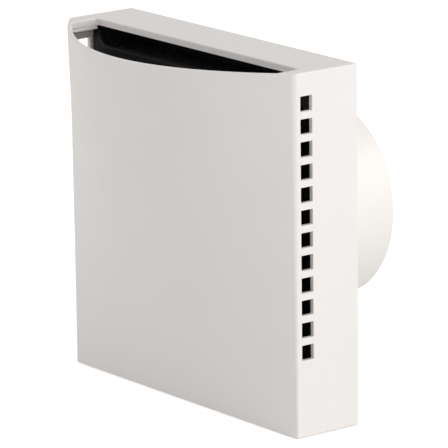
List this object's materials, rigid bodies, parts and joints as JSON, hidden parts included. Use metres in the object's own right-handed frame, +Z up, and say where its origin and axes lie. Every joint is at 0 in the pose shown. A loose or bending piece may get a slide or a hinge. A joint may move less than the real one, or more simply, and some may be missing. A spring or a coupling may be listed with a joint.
{
  "type": "bathroom extractor fan",
  "caption": "Square wall-mounted extractor fan with a bowed front cover, top air slot, side vents, in-duct motor and impeller, and a spigot with a butterfly shutter.",
  "frame": {"origin": "centre of the duct spigot at the wall plane, where the wall plate's back face meets the wall", "axes": "+Y along the spigot into the wall, +Z up, +X to the right for someone facing the fan"},
  "size_m": [0.178, 0.1331, 0.178],
  "materials": {
    "cover_plastic": "satin moulded, very fine spark texture",
    "housing_plastic": "satin moulded",
    "impeller_plastic": "satin moulded",
    "flap_plastic": "satin moulded",
    "black_plastic": "satin moulded",
    "acoustic_foam": "open-cell foam",
    "filter_foam": "coarse open-cell foam",
    "seal_foam": "closed-cell foam",
    "black_rubber": "matte",
    "zinc_steel": "zinc plated",
    "bright_steel": "ground",
    "pressed_steel": "pressed, plated",
    "spring_steel": "drawn wire",
    "lamination_steel": "stacked sheet, oiled",
    "cast_aluminium": "as cast",
    "bearing_bronze": "sintered, oiled",
    "brass": "machined",
    "copper_wire": "enamelled wire",
    "bobbin_nylon": "moulded nylon",
    "circuit_board": "solder mask",
    "blue_plastic": "moulded",
    "yellow_plastic": "moulded",
    "capacitor_sleeve": "shrink sleeve",
    "trimmer_white": "moulded"
  },
  "bodies": {
    "housing": {"wall_plate": "housing_plastic", "duct_spigot": "housing_plastic", "motor_holder": "housing_plastic", "inner_chassis": "black_plastic", "acoustic_foam": "acoustic_foam", "inlet_grille": "black_plastic", "wall_seal": "seal_foam", "chassis_screws": "zinc_steel", "stator_core": "lamination_steel", "coil_bobbins": "bobbin_nylon", "stator_windings": "copper_wire", "front_bearing": "bearing_bronze", "rear_bearing": "bearing_bronze", "front_bracket": "pressed_steel", "rear_bracket": "pressed_steel", "motor_bolts": "zinc_steel", "motor_nuts": "zinc_steel", "isolation_mounts": "black_rubber", "motor_lead": "black_rubber", "terminal_block": "bobbin_nylon", "terminal_clamps": "brass", "terminal_screws": "zinc_steel", "terminal_cover": "black_plastic", "terminal_cover_screw": "zinc_steel", "cable_grommet": "black_rubber", "cable_clamp": "impeller_plastic", "clamp_screws": "zinc_steel", "timer_board": "circuit_board", "board_screws": "zinc_steel", "relay": "blue_plastic", "film_capacitor": "yellow_plastic", "smoothing_capacitor": "capacitor_sleeve", "trimmer_bodies": "blue_plastic", "humidity_sensor": "trimmer_white", "shutter_pin": "bright_steel", "shutter_spring": "spring_steel"},
    "cover": {"front_cover": "cover_plastic"},
    "filter": {"filter_frame": "black_plastic", "filter_media": "filter_foam"},
    "rotor": {"impeller": "impeller_plastic", "impeller_nut": "brass", "motor_shaft": "bright_steel", "rotor_core": "lamination_steel", "rotor_end_rings": "cast_aluminium", "thrust_washers": "bearing_bronze"},
    "left_shutter": {"left_flap": "flap_plastic", "left_spring_leg": "spring_steel"},
    "right_shutter": {"right_flap": "flap_plastic", "right_spring_leg": "spring_steel"},
    "timer_knob": {"timer_trimmer": "trimmer_white"},
    "humidity_knob": {"humidity_trimmer": "trimmer_white"}
  },
  "joints": [
    {"name": "cover_pull", "type": "slide", "parent": "housing", "child": "cover", "axis": [0, -1, 0], "range_m": [0, 0.06]},
    {"name": "filter_lift", "type": "slide", "parent": "cover", "child": "filter", "axis": [0, 0, 1], "range_m": [0, 0.166]},
    {"name": "rotor_spin", "type": "hinge", "parent": "housing", "child": "rotor", "pos_m": [0, 0, 0], "axis": [0, 1, 0], "continuous": true},
    {"name": "left_flap_swing", "type": "hinge", "parent": "housing", "child": "left_shutter", "pos_m": [0, 0.0496, 0], "axis": [0, 0, -1], "range_deg": [0, 78], "stiffness_Nm_per_rad": 0.004, "springref_deg": -20.05},
    {"name": "right_flap_swing", "type": "hinge", "parent": "housing", "child": "right_shutter", "pos_m": [0, 0.0496, 0], "axis": [0, 0, 1], "range_deg": [0, 78], "stiffness_Nm_per_rad": 0.004, "springref_deg": -20.05},
    {"name": "timer_turn", "type": "hinge", "parent": "housing", "child": "timer_knob", "pos_m": [-0.0575, -0.019, -0.042], "axis": [0, -1, 0], "range_deg": [-130, 130]},
    {"name": "humidity_turn", "type": "hinge", "parent": "housing", "child": "humidity_knob", "pos_m": [-0.0475, -0.019, -0.0515], "axis": [0, -1, 0], "range_deg": [-130, 130]}
  ]
}
